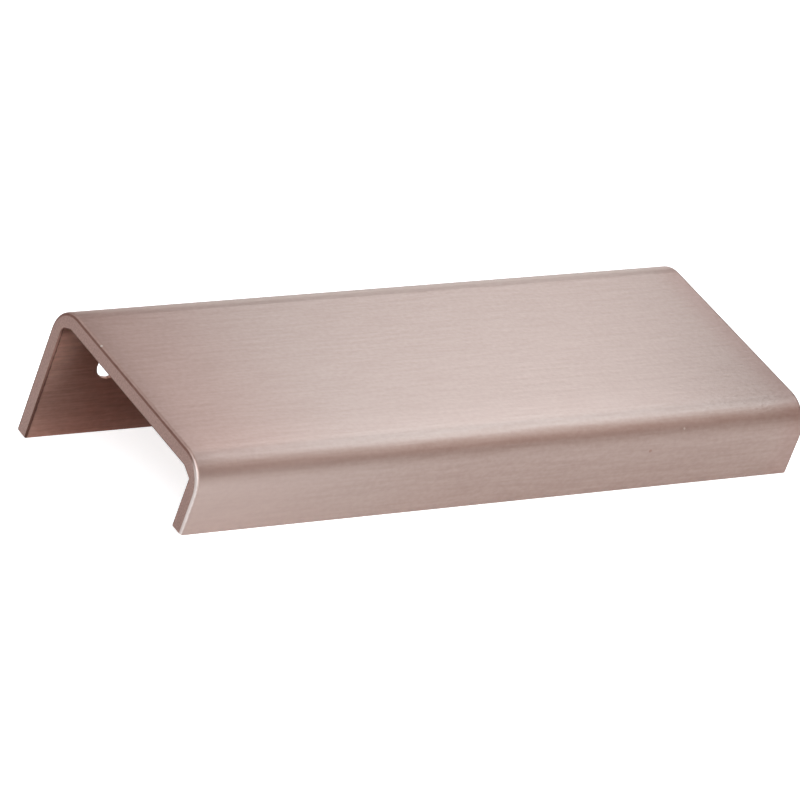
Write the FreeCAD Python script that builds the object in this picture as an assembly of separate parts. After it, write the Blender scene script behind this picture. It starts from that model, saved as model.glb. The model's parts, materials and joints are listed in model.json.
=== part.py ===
# A finger pull for a drawer or cupboard door: one length of metal with a shallow hook for a
# section. The long back leg is screwed behind the door, the broad top plate lies over
# the door's edge and the short front lip hangs down as the grip.
# Millimetres. X runs along the pull, the lip faces -Y and Z is up. The pull lies unheld on
# a level floor: it leans on the inner foot of the back leg and on the outer foot of the lip,
# so the top plate slopes down towards the lip. The origin is on the floor, under the middle.
import FreeCAD, Part
import math
import os

# Driving dimensions
length = 100.0
depth = 37.1
back_leg_height = 20.8
front_lip_height = 10.5
wall = 2.25
outer_bend_radius = 4.5
inner_corner_across = 1.7
inner_corner_down = 0.85
end_round = 0.45
arris_round = 0.2
screw_hole_from_end = 10.0
screw_hole_below_top = 9.7
screw_hole_diameter = 4.5
screw_head_diameter = 8.0
screw_head_angle = 90.0
node_name = "finger_pull"

# Sizes that follow from them
sink_slope = math.tan(math.radians(screw_head_angle / 2))
sink_depth = (screw_head_diameter - screw_hole_diameter) / 2 / sink_slope
foot_rise = back_leg_height - front_lip_height
foot_spread = depth - wall
resting_tilt = math.degrees(math.atan2(foot_rise, foot_spread))
beyond = 1.0
tolerance = 0.001


def point(across, up):
    """A point of the section, from the back leg's outer face and the plate's top face."""
    return FreeCAD.Vector(-length / 2, -across, up)


def line(start, end):
    return Part.LineSegment(point(*start), point(*end)).toShape()


def quarter_bend(start, centre, radius, end):
    """A round quarter of the section, through the middle of its arc."""
    middle = [
        centre[i] + radius * (start[i] + end[i] - 2 * centre[i]) / (radius * math.sqrt(2))
        for i in (0, 1)
    ]
    return Part.Arc(point(*start), point(*middle), point(*end)).toShape()


def outer_outline():
    """The outside of the section, from the back leg's foot over the plate to the lip's foot."""
    outer = outer_bend_radius
    front = depth
    return [
        line((0, -back_leg_height), (0, -outer)),
        quarter_bend((0, -outer), (outer, -outer), outer, (outer, 0)),
        line((outer, 0), (front - outer, 0)),
        quarter_bend((front - outer, 0), (front - outer, -outer), outer, (front, -outer)),
        line((front, -outer), (front, -front_lip_height)),
    ]


def inner_outline():
    """The inside of the section, with a short slant across each of its two corners."""
    lip_back = depth - wall
    corner_foot = wall + inner_corner_down
    return [
        line((lip_back, -front_lip_height), (lip_back, -corner_foot)),
        line((lip_back, -corner_foot), (lip_back - inner_corner_across, -wall)),
        line((lip_back - inner_corner_across, -wall), (wall + inner_corner_across, -wall)),
        line((wall + inner_corner_across, -wall), (wall, -corner_foot)),
        line((wall, -corner_foot), (wall, -back_leg_height)),
    ]


def hooked_strip():
    """The hook-shaped section, of one wall thickness between its bends, drawn out along X."""
    lip_foot = line((depth, -front_lip_height), (depth - wall, -front_lip_height))
    leg_foot = line((wall, -back_leg_height), (0, -back_leg_height))
    section = Part.Wire(outer_outline() + [lip_foot] + inner_outline() + [leg_foot])
    return Part.Face(section).extrude(FreeCAD.Vector(length, 0, 0))


def is_on_a_foot(edge):
    """True for the outlines of the two narrow faces that the pull rests on."""
    box = edge.BoundBox
    feet = (-back_leg_height, -front_lip_height)
    return any(max(abs(box.ZMin - foot), abs(box.ZMax - foot)) < tolerance for foot in feet)


def is_on_an_end(edge):
    """True for the outline of either sawn end, apart from its short sides at the feet."""
    box = edge.BoundBox
    on_end = max(abs(abs(box.XMin) - length / 2), abs(abs(box.XMax) - length / 2)) < tolerance
    return on_end and box.XLength < tolerance and not is_on_a_foot(edge)


def is_outside(edge):
    """True for an edge of the section's outside, which its middle shows."""
    middle = edge.valueAt((edge.FirstParameter + edge.LastParameter) / 2)
    across = -middle.y
    return min(across, depth - across, -middle.z) < wall / 2


def with_eased_edges(strip):
    """Round the ends' outer outline, then take the sharpness off the other edges."""
    outside = [edge for edge in strip.Edges if is_on_an_end(edge) and is_outside(edge)]
    strip = strip.makeFillet(end_round, outside)
    sharp = [edge for edge in strip.Edges if is_on_a_foot(edge)]
    sharp += [edge for edge in strip.Edges if is_on_an_end(edge) and not is_outside(edge)]
    return strip.makeFillet(arris_round, sharp)


def screw_cutter(along):
    """A clearance hole through the back leg, countersunk from its outer face."""
    towards_door = FreeCAD.Vector(0, -1, 0)
    outer_face = FreeCAD.Vector(along, 0, -screw_hole_below_top)
    hole = Part.makeCylinder(
        screw_hole_diameter / 2, wall + 2 * beyond, outer_face - towards_door * beyond, towards_door
    )
    sink = Part.makeCone(
        screw_head_diameter / 2 + beyond * sink_slope,
        screw_hole_diameter / 2,
        sink_depth + beyond,
        outer_face - towards_door * beyond,
        towards_door,
    )
    return hole.fuse(sink)


def laid_on_the_floor(pull):
    """Tilt the pull onto its two feet and bring it to the floor, over the origin."""
    pull.rotate(FreeCAD.Vector(0, 0, 0), FreeCAD.Vector(1, 0, 0), resting_tilt)
    box = pull.optimalBoundingBox(False)
    centre = (box.YMin + box.YMax) / 2
    pull.translate(FreeCAD.Vector(0, -centre, -box.ZMin))
    return pull


def finger_pull():
    pull = with_eased_edges(hooked_strip())
    for side in (-1, 1):
        pull = pull.cut(screw_cutter(side * (length / 2 - screw_hole_from_end)))
    return laid_on_the_floor(pull.removeSplitter())


os.makedirs("parts", exist_ok=True)
result = finger_pull()
if result.ShapeType == "Compound" and len(result.Solids) == 1:
    result = result.Solids[0]
result.exportStep(os.path.join("parts", node_name + ".step"))
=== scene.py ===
import json
import math
import bpy
from mathutils import Matrix, Vector


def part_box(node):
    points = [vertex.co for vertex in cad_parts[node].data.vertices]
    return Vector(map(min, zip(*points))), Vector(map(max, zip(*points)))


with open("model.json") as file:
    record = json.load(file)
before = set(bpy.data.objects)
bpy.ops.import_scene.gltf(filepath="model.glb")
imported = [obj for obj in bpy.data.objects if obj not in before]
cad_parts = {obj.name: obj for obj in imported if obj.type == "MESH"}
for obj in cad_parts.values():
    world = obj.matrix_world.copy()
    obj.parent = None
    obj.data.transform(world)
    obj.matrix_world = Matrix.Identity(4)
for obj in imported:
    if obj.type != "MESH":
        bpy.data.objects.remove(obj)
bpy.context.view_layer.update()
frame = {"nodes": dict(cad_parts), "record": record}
scene = bpy.context.scene
scene.view_settings.view_transform = "Standard"
pull = frame["nodes"]["finger_pull"]

# The frame is in metres. X runs along the pull, the lip faces -Y and Z is up.
millimetre = 0.001

# The pull's section, in millimetres, as the CAD model has it. The pull lies tilted on its two
# feet, so the section's own corner, behind the back leg and level with the plate, is found
# from the seat under the plate.
half_length = 50.0
depth = 37.1
wall = 2.25
bend_radius = 4.5
bend_start = depth - bend_radius
end_round = 0.45
seats = {seat["name"]: seat for seat in frame["record"]["mounts"]}
seat_place = Vector(seats["door_edge_seat"]["pos_m"])
seat_down = Vector(seats["door_edge_seat"]["axis"])
tilt = math.atan2(seat_down.y, -seat_down.z)
to_back = Vector((0.0, math.cos(tilt), math.sin(tilt)))
section_corner = seat_place + (to_back * depth / 2 - seat_down * wall) * millimetre

# Camera
camera_place = Vector((-0.49573, -0.61051, 0.26238))
camera_aim = Vector((-0.00074, 0.00344, 0.0067))
camera_roll = math.radians(8.786)
camera_lens = 280.86
camera_clip = (0.01, 50.0)
sensor_width = 36.0

# Tones of the brushed metal. The channel's tones are a share of the plate's own tone and are painted shade,
# with painted light towards the open ends.
white = (1.0, 1.0, 1.0, 1.0)
rose_dark = (0.405, 0.292, 0.253, 1.0)
rose_pale = (0.475, 0.358, 0.317, 1.0)
# Worn pale metal along the lip's end edge, with a painted highlight on it.
rose_worn_and_highlight = (0.76, 0.68, 0.645, 1.0)
# A painted sheen: paler towards the near end of the lip's outside.
lip_end_sheen = (0.56, 0.465, 0.425, 1.0)
# Painted shade, deeper and pinker, over the plate towards both ends.
near_end_shade = (0.98, 0.88, 0.86, 1.0)
far_end_shade = (0.95, 0.885, 0.88, 1.0)
# Painted shade inside the channel, and painted light towards its open ends.
channel_shade = (1.02, 0.745, 0.66, 1.0)
channel_near_light = (0.98, 0.83, 0.765, 1.0)
channel_end_light = (1.95, 1.78, 1.68, 1.0)
# A painted dark reflection along the outer end edges, away from the lip.
edge_dark_reflection = (0.60, 0.50, 0.47, 1.0)
inner_edge_dark = (0.30, 0.26, 0.25, 1.0)

# Specks on the brushed metal: the place on the section, the radius and the tone.
speck_pale = (0.60, 0.51, 0.47, 1.0)
speck_worn = (0.62, 0.53, 0.47, 1.0)
speck_dark = (0.37, 0.235, 0.20, 1.0)
speck_core = 0.6
specks = (
    ((-49.80, -10.45, 0.0), 0.24, speck_worn),
    ((29.19, -36.15, -1.74), 0.2, speck_pale),
    ((23.75, -depth, -4.24), 0.3, speck_dark),
)

# Sawn ends: a face is part of one if it is this square to X and this near the end.
end_squareness = 0.999
end_slack = 0.01
sawn_dark = (0.30, 0.195, 0.172, 1.0)
sawn_pale = (0.425, 0.278, 0.236, 1.0)
sawn_grains = 4.0
sawn_roughness = 0.5
sawn_height = 0.02
rough_detail = 2.0

# Fades, each as the start and the end of what goes in, then what comes out at either.
outer_skin = (0.4, 0.6, 1.0, 0.0)
inner_skin = (0.75 * wall, 0.9 * wall, 0.0, 1.0)
# Painted shade towards both ends of the plate, and a painted sheen at the lip's near end.
near_shade_fade = (-half_length, -0.4 * half_length, 1.0, 0.0)
far_shade_fade = (0.88 * half_length, half_length, 0.0, 1.0)
lip_sheen_fade = (-half_length, -0.1 * half_length, 0.5, 0.0)
not_lip_fade = (0.2, 0.8, 1.0, 0.0)
# Painted light inside the channel towards its open ends.
channel_near_light_fade = (0.0, 12.0, 1.0, 0.0)
channel_end_light_fade = (0.0, 6.0, 1.0, 0.0)
channel_foot_fade = (-15.0, -6.0, 0.0, 1.0)
channel_top_fade = (-4.6, -3.4, 1.0, 0.0)
grain_contrast = (0.2, 0.8, 0.0, 1.0)
streak_contrast = (0.25, 0.75, 0.9, 1.1)
line_roughness = (0.1, 0.9, 0.32, 0.352)
filed_roughness = (0.5 * end_round, 1.5 * end_round, 0.2, 0.0)

# Brushed lines and edge strips: values for the node groups' own sockets, in millimetres.
fine_brushing = {"Short Line": 2.0, "Long Line": 14.0, "Line Width": 0.26}
# The worn strip also carries a painted highlight, and the outer strip a painted dark reflection.
worn_highlight_strip = {"Width": 0.28, "Raggedness": 0.2}
inner_strip = {"Width": 0.4, "Raggedness": 0.3}
outer_reflection_strip = {"Width": 0.16, "Raggedness": 0.05}
worn_highlight_share = 0.8
brushed_spread = 0.556
spare_direction = (0.0, 0.001, 0.003)

# Relief that only the light shows, in millimetres: the lines, and how the surface drops
# towards the near end and over the start of the front bend.
line_height = 0.025
roll_width = 4.0
roll_drop = 0.035
bend_ease = 4.0
bend_ease_drop = 0.14
bend_fade = (bend_start - bend_ease, bend_start + bend_ease, 0.0, bend_ease_drop)

# Floor and world
floor_size = 6.0
floor_tone = (0.85, 0.85, 0.85, 1.0)
floor_glow_seen = 0.78
floor_glow_mirrored = 0.2
under_pull_fade = (-5 * millimetre, 0.0, 0.3, 1.0)
ceiling_tone = (0.20, 0.136, 0.116, 1.0)
ceiling_fade = (0.10, 0.30, 0.0, 1.0)

# Studio: rows of softboxes on an arc over the pull. Each angle is measured from straight
# above towards the lip, and each level is how bright the softbox looks, with white as 1.
row_radius = 0.2864
row_step = 20
row_width = 0.12
middle_row_width = 0.16
row_aside = 0.20
pale_lamp_tone = (1.0, 1.24, 1.36, 1.0)
low_lamp_tone = (1.0, 0.85, 0.82, 1.0)
back_lamp_tone = (1.0, 1.10, 1.13, 1.0)
softbox_tone = (1.0, 1.16, 1.25, 1.0)
back_row = {-62: 1.2}
right_row = {-42: 0.37, -22: 2.34}
top_row = {-2: 1.25, 18: 2.12}
front_row = {38: 1.08}
low_row = {58: 0.62}
middle_row = {-42: 0.7, -22: 0.8, -2: 0.5, 18: 0.4, 38: 0.4, 58: 0.4}
left_row = {-42: 0.7, -22: 0.8, -2: 0.5, 18: 0.4}
rows = (
    ("back", row_aside, row_width, back_row, back_lamp_tone),
    ("right", row_aside, row_width, right_row, softbox_tone),
    ("top", row_aside, row_width, top_row, pale_lamp_tone),
    ("front", row_aside, row_width, front_row, white),
    ("low", row_aside, row_width, low_row, low_lamp_tone),
    ("middle", 0.0, middle_row_width, middle_row, softbox_tone),
    ("left", -row_aside, row_width, left_row, softbox_tone),
)
near_lamp_angle = 48
near_lamp_level = 3.6
near_lamp_width = 0.24
key_place = Vector((-0.45, -2.4, 1.8))
key_size = 1.8
key_level = 2.35

# A Mix node's colour sockets go by number, as several of its sockets share a name.
mix_share = 0
mix_first = 6
mix_second = 7
mix_result = 2


def turned_to(place, aim, roll=0.0):
    """A rotation at place that looks at aim, then rolls about the line of sight."""
    sight = (aim - place).normalized()
    return sight.to_track_quat("-Z", "Y").to_matrix() @ Matrix.Rotation(roll, 3, "Z")


def add_camera():
    data = bpy.data.cameras.new("camera")
    data.lens = camera_lens
    data.sensor_width = sensor_width
    data.clip_start, data.clip_end = camera_clip
    camera = bpy.data.objects.new("camera", data)
    scene.collection.objects.link(camera)
    turn = turned_to(camera_place, camera_aim, camera_roll)
    camera.matrix_world = Matrix.Translation(camera_place) @ turn.to_4x4()
    scene.camera = camera


class Wiring:
    """Adds and joins the nodes of one material, world or node group."""

    def __init__(self, tree):
        self.tree = tree
        self.nodes = tree.nodes

    def add(self, kind, **settings):
        node = self.nodes.new("ShaderNode" + kind)
        for name, value in settings.items():
            setattr(node, name, value)
        return node

    def feed(self, socket, source):
        """Join a socket to another node's output, or set it to a plain value."""
        if isinstance(source, bpy.types.NodeSocket):
            self.tree.links.new(source, socket)
        else:
            socket.default_value = source

    def feed_all(self, sockets, sources):
        for name, source in sources.items():
            self.feed(sockets[name], source)

    def maths(self, operation, *sources):
        node = self.add("Math", operation=operation)
        self.feed_all(node.inputs, dict(enumerate(sources)))
        return node.outputs["Value"]

    def times(self, first, *others):
        """The product of two or more values."""
        for other in others:
            first = self.maths("MULTIPLY", first, other)
        return first

    def vectors(self, operation, *sources):
        node = self.add("VectorMath", operation=operation)
        self.feed_all(node.inputs, dict(enumerate(sources)))
        return node.outputs["Vector"]

    def vector(self, x, y, z):
        node = self.add("CombineXYZ")
        self.feed_all(node.inputs, {"X": x, "Y": y, "Z": z})
        return node.outputs["Vector"]

    def parts(self, vector):
        """The X, Y and Z of a vector."""
        node = self.add("SeparateXYZ")
        self.feed(node.inputs["Vector"], vector)
        return node.outputs

    def fade(self, value, start, end, low=0.0, high=1.0):
        """From low to high while the value goes from start to end, softly at both."""
        node = self.add("MapRange", interpolation_type="SMOOTHSTEP")
        self.feed_all(node.inputs, {"Value": value, "From Min": start, "From Max": end})
        self.feed_all(node.inputs, {"To Min": low, "To Max": high})
        return node.outputs["Result"]

    def blend(self, share, first, second, way="MIX"):
        """The first colour, and as much of the second as the share says."""
        node = self.add("Mix", data_type="RGBA", blend_type=way)
        self.feed_all(node.inputs, {mix_share: share, mix_first: first, mix_second: second})
        return node.outputs[mix_result]

    def noise(self, place, detail=1.0):
        """Noise about 0.5, with grains one unit of place across."""
        node = self.add("TexNoise")
        self.feed_all(node.inputs, {"Vector": place, "Scale": 1.0, "Detail": detail})
        return node.outputs["Fac"]

    def speck(self, place, centre, radius):
        """1 on a small round spot and 0 past its radius."""
        away = self.add("VectorMath", operation="DISTANCE")
        self.feed_all(away.inputs, {0: place, 1: centre})
        return self.fade(away.outputs["Value"], speck_core * radius, radius, 1.0, 0.0)

    def relief(self, height):
        """The normal of a surface that rises by the height, in millimetres."""
        node = self.add("Bump")
        self.feed_all(node.inputs, {"Strength": 1.0, "Distance": millimetre, "Height": height})
        return node.outputs["Normal"]

    def placed(self, group, *inputs):
        """The outputs of a node group, with its inputs given by name."""
        node = self.add("Group", node_tree=group)
        for sources in inputs:
            self.feed_all(node.inputs, sources)
        return node.outputs


def new_group(name, inputs, outputs):
    """A node group with named inputs and outputs, its wiring and its two end nodes."""
    tree = bpy.data.node_groups.new(name, "ShaderNodeTree")
    for in_out, sockets in (("INPUT", inputs), ("OUTPUT", outputs)):
        for socket_name, (kind, value) in sockets.items():
            socket_type = "NodeSocket" + kind
            socket = tree.interface.new_socket(socket_name, in_out=in_out, socket_type=socket_type)
            if value is not None:
                socket.default_value = value
    entry = tree.nodes.new("NodeGroupInput")
    leave = tree.nodes.new("NodeGroupOutput")
    return tree, Wiring(tree), entry.outputs, leave.inputs


def section_group():
    """Where a point lies on the pull, in millimetres of its own section."""
    inputs = {
        "Half Length": ("Float", half_length),
        "Depth": ("Float", depth),
        "Bend Radius": ("Float", bend_radius),
    }
    outputs = {
        "Place": ("Vector", None),
        "From End": ("Float", None),
        "Below Surface": ("Float", None),
        "Towards Lip": ("Float", None),
    }
    tree, wiring, given, results = new_group("place on the pull", inputs, outputs)
    where = wiring.add("TexCoord")
    section = wiring.add("Mapping", vector_type="TEXTURE")
    section.inputs["Location"].default_value = section_corner
    section.inputs["Rotation"].default_value = (tilt, 0.0, 0.0)
    section.inputs["Scale"].default_value = (millimetre, millimetre, millimetre)
    wiring.feed(section.inputs["Vector"], where.outputs["Object"])
    parts = wiring.parts(section.outputs["Vector"])
    across = wiring.maths("MULTIPLY", parts["Y"], -1.0)
    from_end = wiring.maths("SUBTRACT", given["Half Length"], wiring.maths("ABSOLUTE", parts["X"]))
    start = wiring.maths("SUBTRACT", given["Depth"], given["Bend Radius"])
    wiring.feed(results["Place"], section.outputs["Vector"])
    wiring.feed(results["From End"], from_end)
    wiring.feed(results["Below Surface"], below_surface(wiring, given, across, parts["Z"]))
    wiring.feed(results["Towards Lip"], wiring.fade(across, start, given["Depth"]))
    return tree


def below_surface(wiring, given, across, height):
    """How far a point of the section lies inside its outer outline, bends and all."""
    half_depth = wiring.maths("MULTIPLY", given["Depth"], 0.5)
    straight_half = wiring.maths("SUBTRACT", half_depth, given["Bend Radius"])
    from_middle = wiring.maths("ABSOLUTE", wiring.maths("SUBTRACT", across, half_depth))
    past_side = wiring.maths("SUBTRACT", from_middle, straight_half)
    past_top = wiring.maths("ADD", height, given["Bend Radius"])
    squares = []
    for past in (past_side, past_top):
        squares.append(wiring.maths("POWER", wiring.maths("MAXIMUM", past, 0.0), 2.0))
    reach = wiring.maths("SQRT", wiring.maths("ADD", *squares))
    return wiring.maths("SUBTRACT", given["Bend Radius"], reach)


def brushing_group():
    """Fine lines along X, as a brush leaves them: a value about 0.5 that changes across them."""
    inputs = {
        "Place": ("Vector", None),
        "Short Line": ("Float", 0.8),
        "Long Line": ("Float", 8.0),
        "Line Width": ("Float", 0.48),
    }
    tree, wiring, given, results = new_group("brushed lines", inputs, {"Lines": ("Float", None)})
    layers = []
    for length in ("Short Line", "Long Line"):
        grain = wiring.vector(given[length], given["Line Width"], given["Line Width"])
        layers.append(wiring.noise(wiring.vectors("DIVIDE", given["Place"], grain)))
    wiring.feed(results["Lines"], wiring.maths("MULTIPLY", wiring.maths("ADD", *layers), 0.5))
    return tree


def edge_group():
    """1 on a strip along the sawn ends' edges, with a ragged border."""
    inputs = {
        "Place": ("Vector", None),
        "From End": ("Float", None),
        "Width": ("Float", 0.5),
        "Raggedness": ("Float", 0.3),
        "Grain": ("Float", 0.8),
    }
    outputs = {"Strip": ("Float", None)}
    tree, wiring, given, results = new_group("strip along the ends", inputs, outputs)
    grain = wiring.vector(given["Grain"], given["Grain"], given["Grain"])
    ragged = wiring.noise(wiring.vectors("DIVIDE", given["Place"], grain), rough_detail)
    ragged = wiring.maths("MULTIPLY", wiring.maths("SUBTRACT", ragged, 0.5), given["Raggedness"])
    edge = wiring.maths("ADD", given["From End"], ragged)
    half_width = wiring.maths("MULTIPLY", given["Width"], 0.5)
    wiring.feed(results["Strip"], wiring.fade(edge, half_width, given["Width"], 1.0, 0.0))
    return tree


def new_material(name):
    material = bpy.data.materials.new(name)
    material.use_nodes = True
    return material, Wiring(material.node_tree), material.node_tree.nodes["Principled BSDF"].inputs


def across_the_lines(wiring):
    """The direction in which the brushed lines spread a highlight: across them."""
    surface = wiring.add("NewGeometry")
    across = wiring.vectors("CROSS_PRODUCT", surface.outputs["Normal"], (1.0, 0.0, 0.0))
    return wiring.vectors("ADD", across, spare_direction)


def plate_tone(wiring, along, lines, outer_lip):
    """The rose tint of the outside, with painted shade deeper at both ends and a painted sheen paler at the
    lip's near end.
    """
    tone = wiring.blend(wiring.fade(lines, *grain_contrast), rose_dark, rose_pale)
    # Painted shade towards both ends.
    tone = wiring.blend(wiring.fade(along, *near_shade_fade), tone, near_end_shade, "MULTIPLY")
    tone = wiring.blend(wiring.fade(along, *far_shade_fade), tone, far_end_shade, "MULTIPLY")
    # Painted sheen, paler, on the lip towards its near end.
    lip_sheen = wiring.times(wiring.fade(along, *lip_sheen_fade), outer_lip)
    return wiring.blend(lip_sheen, tone, lip_end_sheen)


def channel_share(wiring, place, height, brushing):
    """The channel's tone as a share of the plate's: painted shade, browner inside, and painted light
    towards the open ends.
    """
    near = wiring.fade(place["From End"], *channel_near_light_fade)
    tone = wiring.blend(near, channel_shade, channel_near_light)
    low = wiring.fade(height, *channel_foot_fade)
    high = wiring.fade(height, *channel_top_fade)
    end = wiring.times(wiring.fade(place["From End"], *channel_end_light_fade), low, high)
    tone = wiring.blend(end, tone, channel_end_light)
    fine_lines = wiring.placed(brushing, {"Place": place["Place"]}, fine_brushing)["Lines"]
    return wiring.blend(1.0, tone, wiring.fade(fine_lines, *streak_contrast), "MULTIPLY")


def with_edges(wiring, tone, place, edge_strip, outside, inside):
    """The tone with the ends' edges: worn pale on the lip with a painted highlight, a painted dark
    reflection on the outer edges, and a dark hairline on the inner edges.
    """
    ends = {"Place": place["Place"], "From End": place["From End"]}
    worn_and_lit, dark_reflection, inner = (
        wiring.placed(edge_strip, ends, strip)["Strip"] for strip in (worn_highlight_strip, outer_reflection_strip, inner_strip)
    )
    worn_and_lit = wiring.times(worn_and_lit, place["Towards Lip"], outside, worn_highlight_share)
    tone = wiring.blend(worn_and_lit, tone, rose_worn_and_highlight)
    not_lip = wiring.fade(place["Towards Lip"], *not_lip_fade)
    # Painted dark reflection along the outer end edges, away from the lip.
    tone = wiring.blend(wiring.times(dark_reflection, not_lip, outside), tone, edge_dark_reflection, "MULTIPLY")
    return wiring.blend(wiring.times(inner, inside), tone, inner_edge_dark, "MULTIPLY")


def brushed_height(wiring, parts, lines):
    """The lines' height, less the drops towards the near end and over the front bend."""
    from_near_end = wiring.maths("ADD", parts["X"], half_length)
    roll = wiring.maths("SUBTRACT", 1.0, wiring.maths("DIVIDE", from_near_end, roll_width))
    roll = wiring.maths("MAXIMUM", roll, 0.0)
    height = wiring.maths("SUBTRACT", wiring.times(lines, line_height), wiring.times(roll, roll, roll_drop))
    across = wiring.maths("MULTIPLY", parts["Y"], -1.0)
    return wiring.maths("SUBTRACT", height, wiring.fade(across, *bend_fade))


def brushed_material(section, brushing, edge_strip):
    material, wiring, shader = new_material("brushed rose metal")
    place = wiring.placed(section)
    parts = wiring.parts(place["Place"])
    lines = wiring.placed(brushing, {"Place": place["Place"]})["Lines"]
    outside = wiring.fade(place["Below Surface"], *outer_skin)
    inside = wiring.fade(place["Below Surface"], *inner_skin)
    tone = plate_tone(wiring, parts["X"], lines, wiring.times(outside, place["Towards Lip"]))
    # The channel's painted shade, with painted light towards its open ends.
    channel_shading = channel_share(wiring, place, parts["Z"], brushing)
    tone = wiring.blend(inside, tone, channel_shading, "MULTIPLY")
    tone = with_edges(wiring, tone, place, edge_strip, outside, inside)
    for centre, radius, colour in specks:
        tone = wiring.blend(wiring.speck(place["Place"], centre, radius), tone, colour)
    filed = wiring.fade(place["From End"], *filed_roughness)
    wiring.feed(shader["Base Color"], tone)
    shader["Metallic"].default_value = 1.0
    shader["Anisotropic"].default_value = brushed_spread
    wiring.feed(shader["Roughness"], wiring.maths("ADD", wiring.fade(lines, *line_roughness), filed))
    wiring.feed(shader["Tangent"], across_the_lines(wiring))
    wiring.feed(shader["Normal"], wiring.relief(brushed_height(wiring, parts, lines)))
    return material


def sawn_material(section):
    material, wiring, shader = new_material("sawn rose metal")
    place = wiring.placed(section)["Place"]
    fineness = (sawn_grains, sawn_grains, sawn_grains)
    grains = wiring.noise(wiring.vectors("MULTIPLY", place, fineness), rough_detail)
    tone = wiring.blend(wiring.fade(grains, *grain_contrast), sawn_dark, sawn_pale)
    wiring.feed(shader["Base Color"], tone)
    shader["Metallic"].default_value = 1.0
    shader["Roughness"].default_value = sawn_roughness
    wiring.feed(shader["Normal"], wiring.relief(wiring.times(grains, sawn_height)))
    return material


def on_sawn_end(face):
    """Whether a face is flat across X and lies at one of the ends."""
    at_end = abs(face.center.x) > (half_length - end_slack) * millimetre
    return at_end and abs(face.normal.x) > end_squareness


def finish_pull():
    """Brushed metal all over, and the sawn finish on the two flat ends."""
    section = section_group()
    mesh = pull.data
    mesh.materials.clear()
    mesh.materials.append(brushed_material(section, brushing_group(), edge_group()))
    mesh.materials.append(sawn_material(section))
    for face in mesh.polygons:
        face.material_index = 1 if on_sawn_end(face) else 0


def beside_the_pull(wiring):
    """A share that is low on the floor under the pull, and 1 from its outline on."""
    where = wiring.add("TexCoord")
    parts = wiring.parts(where.outputs["Object"])
    low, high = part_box("finger_pull")
    past = []
    for axis, reach in (("X", high[0]), ("Y", high[1])):
        past.append(wiring.maths("SUBTRACT", wiring.maths("ABSOLUTE", parts[axis]), reach))
    return wiring.fade(wiring.maths("MAXIMUM", *past), *under_pull_fade)


def add_floor():
    """A white floor that is dimmer in the pull's reflections than it looks beside the pull."""
    half = floor_size / 2
    mesh = bpy.data.meshes.new("floor")
    corners = [(-half, -half, 0), (half, -half, 0), (half, half, 0), (-half, half, 0)]
    mesh.from_pydata(corners, [], [(0, 1, 2, 3)])
    floor = bpy.data.objects.new("floor", mesh)
    scene.collection.objects.link(floor)
    material, wiring, shader = new_material("pale floor")
    shader["Base Color"].default_value = floor_tone
    shader["Roughness"].default_value = 1.0
    shader["Specular IOR Level"].default_value = 0.0
    shader["Emission Color"].default_value = white
    rays = wiring.add("LightPath").outputs
    mirrored = wiring.maths("MAXIMUM", rays["Is Glossy Ray"], rays["Is Transmission Ray"])
    mirrored = wiring.times(mirrored, floor_glow_mirrored, beside_the_pull(wiring))
    seen = wiring.times(rays["Is Camera Ray"], floor_glow_seen)
    wiring.feed(shader["Emission Strength"], wiring.maths("ADD", seen, mirrored))
    mesh.materials.append(material)


def add_world():
    """White at the horizon, and dim and warm above it."""
    world = bpy.data.worlds.new("studio")
    scene.world = world
    world.use_nodes = True
    wiring = Wiring(world.node_tree)
    where = wiring.add("TexCoord")
    high = wiring.fade(wiring.parts(where.outputs["Generated"])["Z"], *ceiling_fade)
    background = world.node_tree.nodes["Background"]
    wiring.feed(background.inputs["Color"], wiring.blend(high, white, ceiling_tone))


def add_softbox(name, place, size, level, tone=white):
    """A rectangle of light that faces the pull, as bright as a surface of that level."""
    data = bpy.data.lights.new(name, "AREA")
    data.shape = "RECTANGLE"
    data.size, data.size_y = size
    data.energy = level * math.pi * size[0] * size[1]
    data.color = tone[:3]
    lamp = bpy.data.objects.new(name, data)
    scene.collection.objects.link(lamp)
    along_arc = Vector((0.0, place.z, -place.y)).normalized()
    facing = place.normalized()
    side = along_arc.cross(facing).normalized()
    turn = Matrix((side, facing.cross(side), facing)).transposed()
    lamp.matrix_world = Matrix.Translation(place) @ turn.to_4x4()
    lamp.visible_camera = False


def on_arc(along, degrees):
    angle = math.radians(degrees)
    return Vector((along, -row_radius * math.sin(angle), row_radius * math.cos(angle)))


def add_softboxes():
    height = row_radius * math.radians(row_step)
    for row, along, width, levels, tone in rows:
        for degrees, level in levels.items():
            name = f"{row} softbox {degrees}"
            add_softbox(name, on_arc(along, degrees), (width, height), level, tone)
    near_place = on_arc(-row_aside, near_lamp_angle)
    near_size = (near_lamp_width, 2 * height)
    add_softbox("near softbox", near_place, near_size, near_lamp_level, softbox_tone)
    add_softbox("key softbox", key_place, (key_size, key_size), key_level)


add_camera()
add_floor()
add_world()
add_softboxes()
finish_pull()
